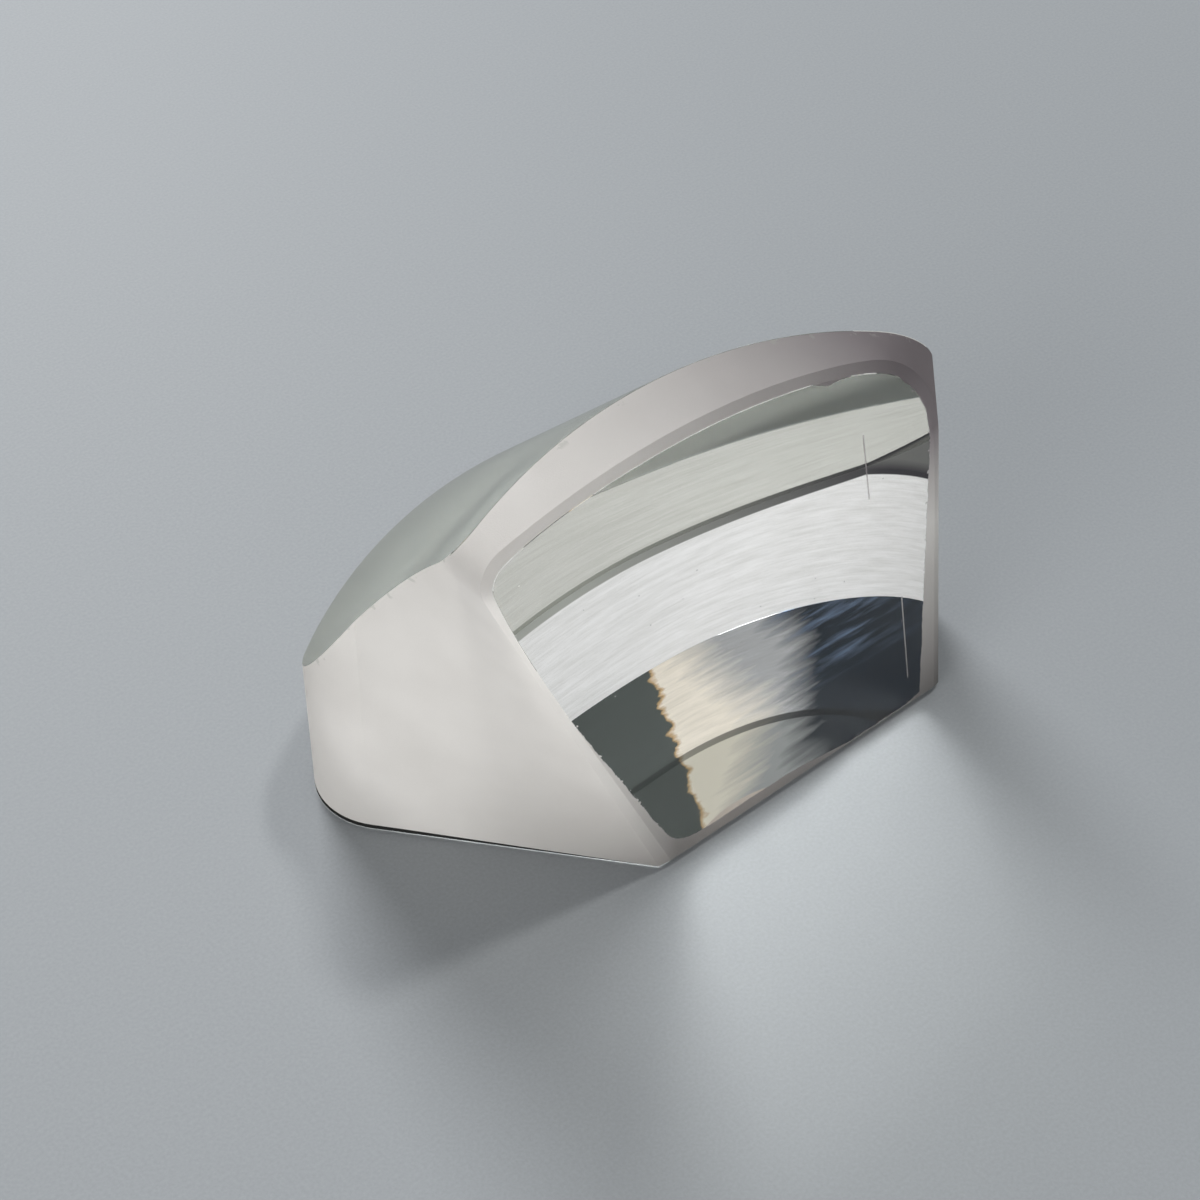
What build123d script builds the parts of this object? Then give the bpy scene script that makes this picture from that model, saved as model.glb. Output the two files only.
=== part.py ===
from build123d import *
import math
import os

# Right angle prism: one solid piece of optical glass, in millimetres.
# The origin lies on the table at the left end of the front face, with X along
# that face, Y towards the back and Z up.

# Front face, polished, square to the base but for a slight lean.
front_width = 30.0
front_height = 39.2
front_lean = 4.0
left_lean = 23.0
right_lean = 3.0
crown_radius = 57.0
crown_x = 2.2
left_shoulder = 2.4
right_shoulder = 11.7

# Side walls, ground, ruled from the front outline to an upright one where the back corner starts.
left_splay = 38.7
right_splay = 41.0
flare_right_lean = 5.0
flare_crown_radius = 120.0
flare_left_shoulder = 4.0
flare_right_shoulder = 1.5

# Back wall, ground and upright, of two arcs that meet at the deepest point.
depth = 35.6
deepest_x = 14.1
back_left_radius = 47.0
back_right_radius = 22.8
corner_radius = 6.0

# Hypotenuse, polished, part of a leaning cylinder at about 45 degrees.
hypotenuse_slope = 43.7
hypotenuse_turn = 15.0
hypotenuse_radius = 47.0
hypotenuse_x = 10.9
hypotenuse_z = -18.7

# Ground bevel round the front face.
front_bevel = 0.6

# Lengths and planes that follow from the sizes above.
reach = 2 * front_height
left_slope = math.tan(math.radians(left_splay))
right_slope = math.tan(math.radians(right_splay))
flare_height = front_height * math.cos(math.radians(front_lean))
back_left_x = deepest_x - back_left_radius
back_right_x = deepest_x + back_right_radius

front_plane = Plane(
    origin=(0, 0, 0),
    x_dir=(1, 0, 0),
    z_dir=Vector(0, -1, 0).rotate(Axis.X, -front_lean),
)
hypotenuse_plane = Plane(
    origin=(hypotenuse_x, 0, hypotenuse_z),
    z_dir=Vector(0, 1, 0).rotate(Axis.X, -hypotenuse_slope).rotate(Axis.Z, -hypotenuse_turn),
)


def outline(left_x, right_x, lean_left, lean_right, top, crown, round_left, round_right):
    """Outline standing on its base line, leaning at the sides and crowned on top."""
    with BuildSketch() as shape:
        with BuildLine():
            Polyline(
                (left_x, 0),
                (right_x, 0),
                (right_x - reach * math.tan(math.radians(lean_right)), reach),
                (left_x - reach * math.tan(math.radians(lean_left)), reach),
                close=True,
            )
        make_face()
        with Locations((crown_x, top - crown)):
            Circle(crown, mode=Mode.INTERSECT)
        shoulders = shape.vertices().sort_by(Axis.Y)[-2:].sort_by(Axis.X)
        fillet(shoulders[0], round_left)
        fillet(shape.vertices().sort_by_distance(shoulders[1])[0], round_right)
    return shape.sketch


# Back wall in plan, open towards the front.
with BuildSketch() as back_plan:
    with BuildLine():
        Line((back_left_x, -depth), (back_left_x, depth - back_left_radius))
        CenterArc((deepest_x, depth - back_left_radius), back_left_radius, 180, -90)
        CenterArc((deepest_x, depth - back_right_radius), back_right_radius, 90, -90)
        Line((back_right_x, depth - back_right_radius), (back_right_x, -depth))
        Line((back_right_x, -depth), (back_left_x, -depth))
    make_face()

# The same plan behind the flare, with the corner to the left wall rounded.
with BuildSketch() as rear_plan:
    add(back_plan.sketch)
    with BuildLine():
        Polyline(
            (left_slope * depth, -depth),
            (-left_slope * depth, depth),
            (-left_slope * reach, depth),
            (-left_slope * reach, -depth),
            close=True,
        )
    make_face(mode=Mode.SUBTRACT)
    fillet(rear_plan.vertices().sort_by(Axis.X)[0], corner_radius)
    flare_depth = rear_plan.edges().sort_by(Axis.X)[0].vertices().sort_by(Axis.Y)[0].Y
    with Locations((0, flare_depth)):
        Rectangle(2 * reach, 2 * reach, align=(Align.CENTER, Align.MIN), mode=Mode.INTERSECT)

flare_plane = Plane(origin=(0, flare_depth, 0), x_dir=(1, 0, 0), z_dir=(0, -1, 0))

with BuildPart() as prism:
    with BuildSketch(front_plane):
        add(outline(0, front_width, left_lean, right_lean, front_height, crown_radius,
                    left_shoulder, right_shoulder))
    with BuildSketch(flare_plane):
        add(outline(-flare_depth * left_slope, front_width + flare_depth * right_slope,
                    0, flare_right_lean, flare_height, flare_crown_radius,
                    flare_left_shoulder, flare_right_shoulder))
    loft(ruled=True)
    add(back_plan.sketch)
    extrude(amount=reach, mode=Mode.INTERSECT)
    add(rear_plan.sketch)
    extrude(amount=flare_height)
    with Locations(hypotenuse_plane):
        Cylinder(hypotenuse_radius, 6 * depth, mode=Mode.INTERSECT)
    front = prism.faces().filter_by(GeomType.PLANE).sort_by(Axis.Y)[0]
    chamfer(front.edges(), front_bevel)

# Stand it with the origin on the table under the middle of the solid.
with BuildPart() as placed:
    with Locations((-front_width / 2, -depth / 2, 0)):
        add(prism.part)

placed.part.label = "prism"
os.makedirs("parts", exist_ok=True)
export_step(placed.part, "parts/prism.step")
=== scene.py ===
import math
import bpy
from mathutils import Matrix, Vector

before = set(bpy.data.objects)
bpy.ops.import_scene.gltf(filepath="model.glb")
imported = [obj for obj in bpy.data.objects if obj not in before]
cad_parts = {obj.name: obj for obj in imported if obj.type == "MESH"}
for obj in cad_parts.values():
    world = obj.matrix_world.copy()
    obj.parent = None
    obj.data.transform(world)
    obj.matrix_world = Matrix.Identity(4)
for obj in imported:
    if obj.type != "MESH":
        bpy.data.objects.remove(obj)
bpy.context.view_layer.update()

mm = 0.001


# Node helpers, in which sockets and plain values go in alike.
class nodeKit:
    def __init__(self, tree):
        self.tree = tree

    def make(self, kind, **values):
        node = self.tree.nodes.new(kind)
        for key, value in values.items():
            setattr(node, key, value)
        return node

    def put(self, value, socket):
        if isinstance(value, bpy.types.NodeSocket):
            self.tree.links.new(value, socket)
        elif value is not None:
            socket.default_value = value

    def maths(self, how, a, b=None, c=None, clamp=False):
        node = self.make("ShaderNodeMath", operation=how, use_clamp=clamp)
        for value, socket in zip((a, b, c), node.inputs):
            self.put(value, socket)
        return node.outputs[0]

    def vectors(self, how, a, b=None, scale=None):
        node = self.make("ShaderNodeVectorMath", operation=how)
        self.put(a, node.inputs[0])
        self.put(b, node.inputs[1])
        self.put(scale, node.inputs[3])
        return node.outputs[1] if how in ("DOT_PRODUCT", "LENGTH") else node.outputs[0]

    def add(self, a, b):
        return self.maths("ADD", a, b)

    def less(self, a, b):
        return self.maths("SUBTRACT", a, b)

    def times(self, a, b):
        return self.maths("MULTIPLY", a, b)

    def split(self, vector):
        node = self.make("ShaderNodeSeparateXYZ")
        self.put(vector, node.inputs[0])
        return node.outputs

    def mapping(self, vector, scale, turn=0.0):
        node = self.make("ShaderNodeMapping")
        self.put(vector, node.inputs["Vector"])
        node.inputs["Rotation"].default_value = (0.0, 0.0, math.radians(turn))
        node.inputs["Scale"].default_value = scale
        return node.outputs[0]

    def noise(self, where, scale, detail, rough):
        node = self.make("ShaderNodeTexNoise")
        self.put(where, node.inputs["Vector"])
        node.inputs["Scale"].default_value = scale
        node.inputs["Detail"].default_value = detail
        node.inputs["Roughness"].default_value = rough
        return node.outputs[0]

    def wander(self, noise, amount):
        # noise about zero, as wide as amount
        return self.times(self.less(noise, 0.5), amount)

    def ramp(self, value, low, high, toLow=0.0, toHigh=1.0):
        node = self.make("ShaderNodeMapRange", clamp=True)
        for name, given in (("Value", value), ("From Min", low), ("From Max", high),
                            ("To Min", toLow), ("To Max", toHigh)):
            self.put(given, node.inputs[name])
        return node.outputs[0]

    def blendColor(self, factor, a, b):
        node = self.make("ShaderNodeMix", data_type="RGBA")
        self.put(factor, node.inputs[0])
        self.put(shade(a), node.inputs[6])
        self.put(shade(b), node.inputs[7])
        return node.outputs[2]

    def shader(self, kind, color, **sockets):
        node = self.make(kind)
        self.put(shade(color), node.inputs[0])
        for name, value in sockets.items():
            self.put(value, node.inputs[name])
        return node.outputs[0]

    def mixShader(self, factor, a, b):
        node = self.make("ShaderNodeMixShader")
        for value, socket in zip((factor, a, b), node.inputs):
            self.put(value, socket)
        return node.outputs[0]


def shade(color):
    # three numbers become a colour, a socket stays a socket
    return color if isinstance(color, bpy.types.NodeSocket) else (*color, 1.0)


def newMaterial(name):
    material = bpy.data.materials.new(name)
    material.use_nodes = True
    material.node_tree.nodes.clear()
    return material, nodeKit(material.node_tree)


def setSurface(n, surface, kind="ShaderNodeOutputMaterial"):
    n.put(surface, n.make(kind).inputs["Surface"])


# The prism's own surfaces, in millimetres and degrees. The front leans back, and the
# hypotenuse is part of a leaning cylinder. Places on it start from the foot of the front.
prismShape = {
    "frontFoot": (-15.0, -17.8, 0.0),        # left end of that foot, in the frame
    "frontLean": 4.0,
    "hypSlope": 43.7,
    "hypTurn": 15.0,
    "hypRadius": 47.0,
    "hypPoint": (10.9, 0.0, -18.7),          # a point on the cylinder's axis
    "wallStart": (20.0, 36.9, 26.7, 12.4),   # from one place to another, how far back the wall starts
    "wallTop": 12.9,                         # height of the back wall's straight part
    "faceGap": 0.03,                         # how near the front a point counts as on it
    "hypGap": (0.08, 0.03),                  # the same for the hypotenuse, with a soft end
    "baseGap": 0.02,
    "flattest": 0.3,                         # least upward part of the hypotenuse's normal
}


class prismPlaces:
    # Where a point lies on the prism. Ahead is its distance along the front face's outward
    # normal, and below is the hypotenuse's radius less its distance from that cylinder's axis.
    def __init__(self, n, shape):
        self.where = n.vectors("SCALE", n.make("ShaderNodeTexCoord").outputs["Object"], scale=1.0 / mm)
        local = n.vectors("SUBTRACT", self.where, shape["frontFoot"])
        lean = math.radians(shape["frontLean"])
        self.ahead = n.vectors("DOT_PRODUCT", local, (0.0, -math.cos(lean), math.sin(lean)))
        self.up = n.vectors("DOT_PRODUCT", local, (0.0, math.sin(lean), math.cos(lean)))
        self.across, self.back, self.height = n.split(local)
        slope, turn = math.radians(shape["hypSlope"]), math.radians(shape["hypTurn"])
        level = math.cos(slope)
        axis = (level * math.sin(turn), level * math.cos(turn), -math.sin(slope))
        off = n.vectors("SUBTRACT", local, shape["hypPoint"])
        foot = n.vectors("SCALE", axis, scale=n.vectors("DOT_PRODUCT", off, axis))
        self.below = n.less(shape["hypRadius"], n.vectors("LENGTH", n.vectors("SUBTRACT", off, foot)))
        tilt = n.split(n.make("ShaderNodeTexCoord").outputs["Normal"])[2]
        leaning = n.maths("GREATER_THAN", n.maths("ABSOLUTE", tilt), shape["flattest"])
        self.onHyp = n.times(n.ramp(self.below, *shape["hypGap"]), leaning)
        self.onFront = n.maths("GREATER_THAN", self.ahead, -shape["faceGap"])
        self.onBase = n.maths("LESS_THAN", self.height, shape["baseGap"])
        wallStart = n.ramp(self.across, *shape["wallStart"])
        self.onWall = n.maths("GREATER_THAN", self.back, wallStart)


# Polished part of the front face, in millimetres, with what has marked it.
frontBorder = {
    "left": (0.5, 1.7),          # lean of the left border, and its start along the foot
    "foot": (13.0, 20.0, 1.6, 0.7),   # from one place to another, height of the lower border
    "right": (29.35, 0.035),     # right border, and how it leans in
    "cornerCentre": (16.8, 25.5),
    "cornerRadius": 10.85,       # round upper right corner
    "topRise": 0.5,              # how the upper border rises towards the left
    "rounding": (4.0, 5.5),      # softness of the lower corners, left and right
    "wobble": 0.4,               # long waves of the borders
    "wobbleNoise": (0.55, 4.0, 0.6),  # every noise has its scale, detail and roughness
    "grit": 0.22,                # short waves
    "gritNoise": (5.0, 4.0, 0.7),
    "nick": (0.62, 0.70, 0.22),  # noise where a nick starts and is full, and its depth
    "nickNoise": (2.2, 2.0, 0.5),
    "edge": (-0.02, 0.06),       # soft step from ground to polished
    "dustSpread": 0.42,
    "dustSize": (0.030, 0.018),
    "markStrength": 0.7,
    "scratchWaver": 0.5,         # how much a scratch follows the grit
    "scratchCore": 0.4,          # share of its width that is full
    "scratches": (               # slope, start along the foot, low end, high end, width
        (-0.13, 24.3, 24.0, 30.3, 0.10),
        (-0.12, 26.6, 3.5, 12.5, 0.09),
    ),
}


def frontPolish(n, p, look):
    # The least distance inside the borders, with round corners, is above zero on the polish.
    wobble = n.wander(n.noise(p.where, *look["wobbleNoise"]), look["wobble"])
    grit = n.wander(n.noise(p.where, *look["gritNoise"]), look["grit"])
    leftLean, leftStart = look["left"]
    left = n.add(n.times(p.up, leftLean), n.less(p.across, leftStart))
    foot = n.less(p.up, n.ramp(p.across, *look["foot"]))
    rightEnd, rightLean = look["right"]
    right = n.less(n.less(rightEnd, p.across), n.times(p.up, rightLean))
    roundLeft, roundRight = look["rounding"]
    inside = n.maths("SMOOTH_MIN", n.maths("SMOOTH_MIN", left, foot, roundLeft), right, roundRight)

    centreAcross, centreUp = look["cornerCentre"]
    pastAcross = n.maths("MAXIMUM", n.less(p.across, centreAcross), 0.0)
    pastUp = n.maths("MAXIMUM", n.less(p.up, centreUp), 0.0)
    reach = n.maths("SQRT", n.add(n.maths("POWER", pastAcross, 2.0), n.maths("POWER", pastUp, 2.0)))
    away = n.maths("MAXIMUM", n.less(centreAcross, p.across), 0.0)
    shoulder = n.maths("MULTIPLY_ADD", away, look["topRise"], n.less(look["cornerRadius"], reach))
    inside = n.add(n.maths("MINIMUM", inside, shoulder), n.add(wobble, grit))
    nickStart, nickFull, nickDepth = look["nick"]
    nicks = n.times(n.ramp(n.noise(p.where, *look["nickNoise"]), nickStart, nickFull), nickDepth)
    polish = n.times(p.onFront, n.ramp(n.less(inside, nicks), *look["edge"]))
    return polish, frontMarks(n, p, look, grit)


def frontMarks(n, p, look, grit):
    # Scratches are thin bands about a line up the face, and dust is the middles of sparse cells.
    dust = n.make("ShaderNodeTexVoronoi")
    n.put(p.where, dust.inputs["Vector"])
    dust.inputs["Scale"].default_value = look["dustSpread"]
    marks = n.ramp(dust.outputs["Distance"], *look["dustSize"])
    for slope, start, low, high, width in look["scratches"]:
        line = n.less(p.across, n.add(n.times(p.up, slope), start))
        line = n.maths("ABSOLUTE", n.add(line, n.times(grit, look["scratchWaver"])))
        near = n.ramp(line, width, width * look["scratchCore"])
        span = n.times(n.maths("GREATER_THAN", p.up, low), n.maths("LESS_THAN", p.up, high))
        marks = n.maths("MAXIMUM", marks, n.times(near, span))
    return n.times(n.times(marks, p.onFront), look["markStrength"])


# Clear glass. The base mirrors a painted reflection inside, a choice of look, with edges in
# millimetres.
clearLook = {
    "ior": 1.52,
    "tint": (0.99, 0.985, 0.975),
    "hypTint": (0.76, 0.765, 0.72),
    "lampTint": (0.97, 0.97, 0.96),
    "baseTint": (1.0, 1.0, 0.97),
}
paintedReflectionLook = {
    "dark": (0.085, 0.10, 0.092),
    # orange fringe about the cream patch of the painted reflection
    "orangeFringe": (0.62, 0.42, 0.20),
    "cream": (1.0, 0.93, 0.81),
    "grey": (0.46, 0.47, 0.48),
    "night": (0.014, 0.020, 0.029),
    "streak": (0.13, 0.18, 0.27),
    "beige": (0.74, 0.64, 0.58),
    "creamEdge": (0.235, 4.2),               # slope to the back, and start
    "fringeBlur": (-0.20, 0.0),                # soft steps past an edge
    "creamBlur": (0.0, 0.45),
    "torn": 3.0,
    "tornNoise": (0.35, 5.0, 0.55),
    "drift": 7.0,
    "streakStretch": (0.12, 0.6, 1.0),
    "streakTurn": -20.0,
    "streakNoise": (1.0, 3.0, 0.55),
    "coreEdge": (4.0, 17.0, 9.5, 17.0),      # from one depth to another, place of the edge
    "coreBlur": (-3.0, 2.5),
    "greyEdge": (4.0, 27.0, 16.0, 25.0),
    "greyBlur": (-2.2, 2.0),
    "wispRange": (0.48, 0.72),
    "wispDepth": (13.0, 20.0),
    "beigeArc": (8.2, 5.8, -3.2, 3.7),       # middle, half width, fall and height of a parabola
    "beigeBlur": (-0.1, 0.1),
}


def paintedReflectionColor(n, p, look):
    # Painted reflection for the base, in bands from left to right, dark, cream, grey and night, with
    # streaked and torn edges.
    stretched = n.mapping(p.where, look["streakStretch"], look["streakTurn"])
    streaky = n.noise(stretched, *look["streakNoise"])
    torn = n.wander(n.noise(p.where, *look["tornNoise"]), look["torn"])
    drift = n.wander(streaky, look["drift"])
    creamLeft = n.add(n.less(p.across, n.maths("MULTIPLY_ADD", p.back, *look["creamEdge"])), torn)
    coreRight = n.add(n.less(p.across, n.ramp(p.back, *look["coreEdge"])), drift)
    greyRight = n.add(n.less(p.across, n.ramp(p.back, *look["greyEdge"])), drift)
    color = n.blendColor(n.ramp(creamLeft, *look["fringeBlur"]), look["dark"], look["orangeFringe"])
    color = n.blendColor(n.ramp(creamLeft, *look["creamBlur"]), color, look["cream"])
    color = n.blendColor(n.ramp(coreRight, *look["coreBlur"]), color, look["grey"])
    wisps = n.times(n.ramp(streaky, *look["wispRange"]), n.ramp(p.back, *look["wispDepth"]))
    night = n.blendColor(wisps, look["night"], look["streak"])
    color = n.blendColor(n.ramp(greyRight, *look["greyBlur"]), color, night)
    middle, half, fall, top = look["beigeArc"]
    arc = n.maths("POWER", n.maths("DIVIDE", n.less(p.across, middle), half), 2.0)
    arc = n.less(n.maths("MULTIPLY_ADD", arc, fall, top), p.back)
    return n.blendColor(n.ramp(arc, *look["beigeBlur"]), color, look["beige"])


def clearGlass(n, p, look, paintedReflection):
    # The base mirrors the painted reflection and lets steep light pass. Lamps shine through the glass.
    clear = n.shader("ShaderNodeBsdfGlass", n.blendColor(p.onHyp, look["tint"], look["hypTint"]),
                     Roughness=0.0, IOR=look["ior"])
    mirrored = n.shader("ShaderNodeBsdfGlossy", paintedReflectionColor(n, p, paintedReflection), Roughness=0.0)
    bending = n.shader("ShaderNodeBsdfRefraction", look["baseTint"], Roughness=0.0, IOR=look["ior"])
    fresnel = n.make("ShaderNodeFresnel")
    fresnel.inputs["IOR"].default_value = look["ior"]
    glass = n.mixShader(p.onBase, clear, n.mixShader(fresnel.outputs[0], bending, mirrored))
    lampRay = n.make("ShaderNodeLightPath").outputs["Is Shadow Ray"]
    return n.mixShader(lampRay, glass, n.shader("ShaderNodeBsdfTransparent", look["lampTint"]))


# Ground surfaces, with places in millimetres across, up and below the hypotenuse. Through is
# the share of scattered light that a ground face passes on.
groundLook = {
    "pale": (0.80, 0.775, 0.75),
    "dark": (0.73, 0.705, 0.68),
    "cloudNoise": (0.12, 2.0, 0.5),
    "cloudShare": 0.8,
    "grainNoise": (9.0, 3.0, 0.7),
    "grainShare": 0.2,
    "toneRange": (0.35, 0.65),
    "tipShade": (0.18, 0.17, 0.165),              # painted shade on the left wall towards its sharp foot
    "tipShadeAcross": (-13.0, 1.0),
    "tipShadeHeight": (26.0, 0.0),
    "crown": (0.23, 0.205, 0.215),           # painted shade on the crown strip towards its right end
    "crownAcross": (-4.0, 24.0),
    "crownHeight": (18.0, 27.0),
    "wallPale": (0.99, 0.98, 0.965),
    "wallDark": (0.80, 0.79, 0.76),
    "wallStretch": (0.10, 0.10, 1.6),
    "wallNoise": (2.0, 6.0, 0.72),
    "wallShare": 0.7,
    "wallGrain": 0.3,
    "wallRange": (0.36, 0.6),
    "foot": (0.03, 0.03, 0.03),
    "footLine": (-13.0, -1.0, 0.40, 0.04),   # from one place to another, height of the hairline
    "chipDepth": (0.55, 0.35),
    "chipNoise": (0.9, 3.0, 0.6),
    "chipRange": (0.60, 0.63),
    "chipStrength": 0.35,
    # painted shade for the back wall's rim and the band above it, darker to the right; the left grey
    # also colours the chips
    "rimShadeLeftAndChips": (0.42, 0.43, 0.39),
    "rimShadeRight": (0.03, 0.025, 0.03),
    "aboveShadeLeft": (0.50, 0.52, 0.48),
    "aboveShadeRight": (0.16, 0.16, 0.15),
    "rimAcross": (5.0, 34.0),
    "rimWidth": 0.6,
    "rimEdge": 0.08,
    "aboveStart": (-0.05, 0.05),
    "aboveFull": (0.5, 1.6),
    "pits": (0.35, 0.0001),                  # strength, and depth in metres
    "through": 0.42,
    "wallThrough": 0.80,
}


def groundColor(n, p, look, grain):
    cloudy = n.noise(p.where, *look["cloudNoise"])
    tone = n.add(n.times(cloudy, look["cloudShare"]), n.times(grain, look["grainShare"]))
    color = n.blendColor(n.ramp(tone, *look["toneRange"]), look["dark"], look["pale"])
    # painted shade: the left wall darkens towards its sharp foot
    tipShade = n.times(n.ramp(p.across, *look["tipShadeAcross"]), n.ramp(p.height, *look["tipShadeHeight"]))
    color = n.blendColor(tipShade, color, look["tipShade"])
    # painted shade: the crown strip darkens towards its right end
    crown = n.times(n.ramp(p.across, *look["crownAcross"]), n.ramp(p.height, *look["crownHeight"]))
    color = n.blendColor(crown, color, look["crown"])

    # back wall: long fine grinding lines run along it
    lines = n.noise(n.mapping(p.where, look["wallStretch"]), *look["wallNoise"])
    lines = n.add(n.times(lines, look["wallShare"]), n.times(grain, look["wallGrain"]))
    wall = n.blendColor(n.ramp(lines, *look["wallRange"]), look["wallDark"], look["wallPale"])
    color = n.blendColor(p.onWall, color, wall)

    # hairline of shade along the left wall's foot
    footLine = n.maths("LESS_THAN", p.height, n.ramp(p.across, *look["footLine"]))
    footLine = n.times(footLine, n.maths("LESS_THAN", p.across, 0.0))
    color = n.blendColor(footLine, color, look["foot"])

    # small chips under the hypotenuse's edge
    chip = n.ramp(n.noise(p.where, *look["chipNoise"]), *look["chipRange"])
    chip = n.times(n.ramp(p.below, *look["chipDepth"]), chip)
    color = n.blendColor(n.times(chip, look["chipStrength"]), color, look["rimShadeLeftAndChips"])

    # painted shade: the rim of the back wall, and the band above its straight part, both darker to the
    # right
    overTop = n.less(p.height, prismShape["wallTop"])
    toRight = n.ramp(p.across, *look["rimAcross"])
    rimShadeColor = n.blendColor(toRight, look["rimShadeLeftAndChips"], look["rimShadeRight"])
    above = n.blendColor(toRight, look["aboveShadeLeft"], look["aboveShadeRight"])
    rimShadeColor = n.blendColor(n.ramp(overTop, *look["aboveFull"]), rimShadeColor, above)
    nearRim = n.ramp(p.below, look["rimWidth"], look["rimWidth"] - look["rimEdge"])
    rimShadeMask = n.maths("MAXIMUM", n.ramp(overTop, *look["aboveStart"]), nearRim)
    return n.blendColor(n.times(rimShadeMask, p.onWall), color, rimShadeColor)


def groundGlass(n, p, look):
    # Fine pits scatter light both ways, and the back wall passes more of it on.
    grain = n.noise(p.where, *look["grainNoise"])
    color = groundColor(n, p, look, grain)
    pits = n.make("ShaderNodeBump")
    pits.inputs["Strength"].default_value, pits.inputs["Distance"].default_value = look["pits"]
    n.put(grain, pits.inputs["Height"])
    matte = n.shader("ShaderNodeBsdfDiffuse", color, Normal=pits.outputs[0])
    through = n.shader("ShaderNodeBsdfTranslucent", color)
    share = n.ramp(p.onWall, 0.0, 1.0, look["through"], look["wallThrough"])
    return n.mixShader(share, matte, through)


def prismMaterial():
    material, n = newMaterial("prismGlass")
    p = prismPlaces(n, prismShape)
    front, marks = frontPolish(n, p, frontBorder)
    polish = n.maths("MAXIMUM", n.maths("MAXIMUM", front, p.onHyp), p.onBase)
    polish = n.maths("SUBTRACT", polish, marks, clamp=True)
    ground = groundGlass(n, p, groundLook)
    setSurface(n, n.mixShader(polish, ground, clearGlass(n, p, clearLook, paintedReflectionLook)))
    return material


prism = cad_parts["prism"]
prism.data.materials.clear()
prism.data.materials.append(prismMaterial())
print("glass set on the prism")


# Table, in metres.
tableLook = {
    "tone": (0.255, 0.272, 0.285),
    "darker": 0.93,
    "paler": 1.06,
    "grainNoise": (3500.0, 2.0, 0.6),
    "cloudNoise": (9.0, 2.0, 0.5),
    "range": (0.3, 0.7),
    "cloudShare": 0.35,
    "roughness": 0.6,
    "size": 3.0,
    "gap": 0.00005,              # keeps the table off the base
}


def tableMaterial(look):
    material, n = newMaterial("tableTop")
    where = n.make("ShaderNodeTexCoord").outputs["Object"]
    grain = n.noise(where, *look["grainNoise"])
    cloud = n.noise(where, *look["cloudNoise"])
    dark = tuple(v * look["darker"] for v in look["tone"])
    pale = tuple(v * look["paler"] for v in look["tone"])
    mixed = n.blendColor(n.ramp(grain, *look["range"]), dark, pale)
    mixed = n.blendColor(n.ramp(cloud, *look["range"], 0.0, look["cloudShare"]), mixed, pale)
    setSurface(n, n.shader("ShaderNodeBsdfPrincipled", mixed, Roughness=look["roughness"]))
    return material


bpy.ops.mesh.primitive_plane_add(size=tableLook["size"], location=(0.0, 0.0, -tableLook["gap"]))
table = bpy.context.object
table.name = "tableTop"
table.data.materials.append(tableMaterial(tableLook))
print("table laid")


lampLook = {
    "target": (0.0, 0.0, 0.02),
    "lamps": {                   # place, size, power, colour
        "keyLamp": ((0.26, -0.08, 0.95), 0.10, 2.6, (1.0, 0.985, 0.96)),
        "backLamp": ((0.25, 0.75, 0.65), 0.4, 7.5, (0.97, 0.98, 1.0)),
        "sideLamp": ((-0.80, -0.22, 0.30), 0.5, 3.7, (1.0, 0.98, 0.955)),
    },
}


def aimAt(thing, target):
    thing.rotation_euler = (Vector(target) - thing.location).to_track_quat("-Z", "Y").to_euler()


for name, (place, size, power, color) in lampLook["lamps"].items():
    light = bpy.data.lights.new(name, "AREA")
    light.shape = "DISK"
    light.size = size
    light.energy = power
    light.color = color
    lamp = bpy.data.objects.new(name, light)
    bpy.context.scene.collection.objects.link(lamp)
    lamp.location = place
    aimAt(lamp, lampLook["target"])


roomLook = {
    "horizon": (0.80, 0.81, 0.82),
    "above": (0.55, 0.58, 0.62),
    "light": (0.30, 0.31, 0.32),
    "fade": (0.0, 0.9),          # heights between which the horizon gives way
}


def setRoom(look):
    # Pale room for the camera and the glass, and a dimmer one as light on matte surfaces.
    world = bpy.data.worlds.new("studioRoom")
    bpy.context.scene.world = world
    world.use_nodes = True
    world.node_tree.nodes.clear()
    n = nodeKit(world.node_tree)
    height = n.split(n.make("ShaderNodeTexCoord").outputs["Generated"])[2]
    room = n.blendColor(n.ramp(height, *look["fade"]), look["horizon"], look["above"])
    matteRay = n.make("ShaderNodeLightPath").outputs["Is Diffuse Ray"]
    seen = n.blendColor(matteRay, room, look["light"])
    setSurface(n, n.shader("ShaderNodeBackground", seen), "ShaderNodeOutputWorld")


setRoom(roomLook)
print("lamps and room set")


cameraLook = {
    "location": (-0.10570, -0.11402, 0.14650),
    "target": (0.00117, 0.00867, 0.0),
    "lens": 77.09,
    "sensor": 36.0,
    "clipStart": 0.01,
}

lens = bpy.data.cameras.new("camera")
lens.lens = cameraLook["lens"]
lens.sensor_width = cameraLook["sensor"]
lens.clip_start = cameraLook["clipStart"]
camera = bpy.data.objects.new("camera", lens)
bpy.context.scene.collection.objects.link(camera)
camera.location = cameraLook["location"]
aimAt(camera, cameraLook["target"])
bpy.context.scene.camera = camera
bpy.context.scene.view_settings.view_transform = "Standard"
print("camera set")
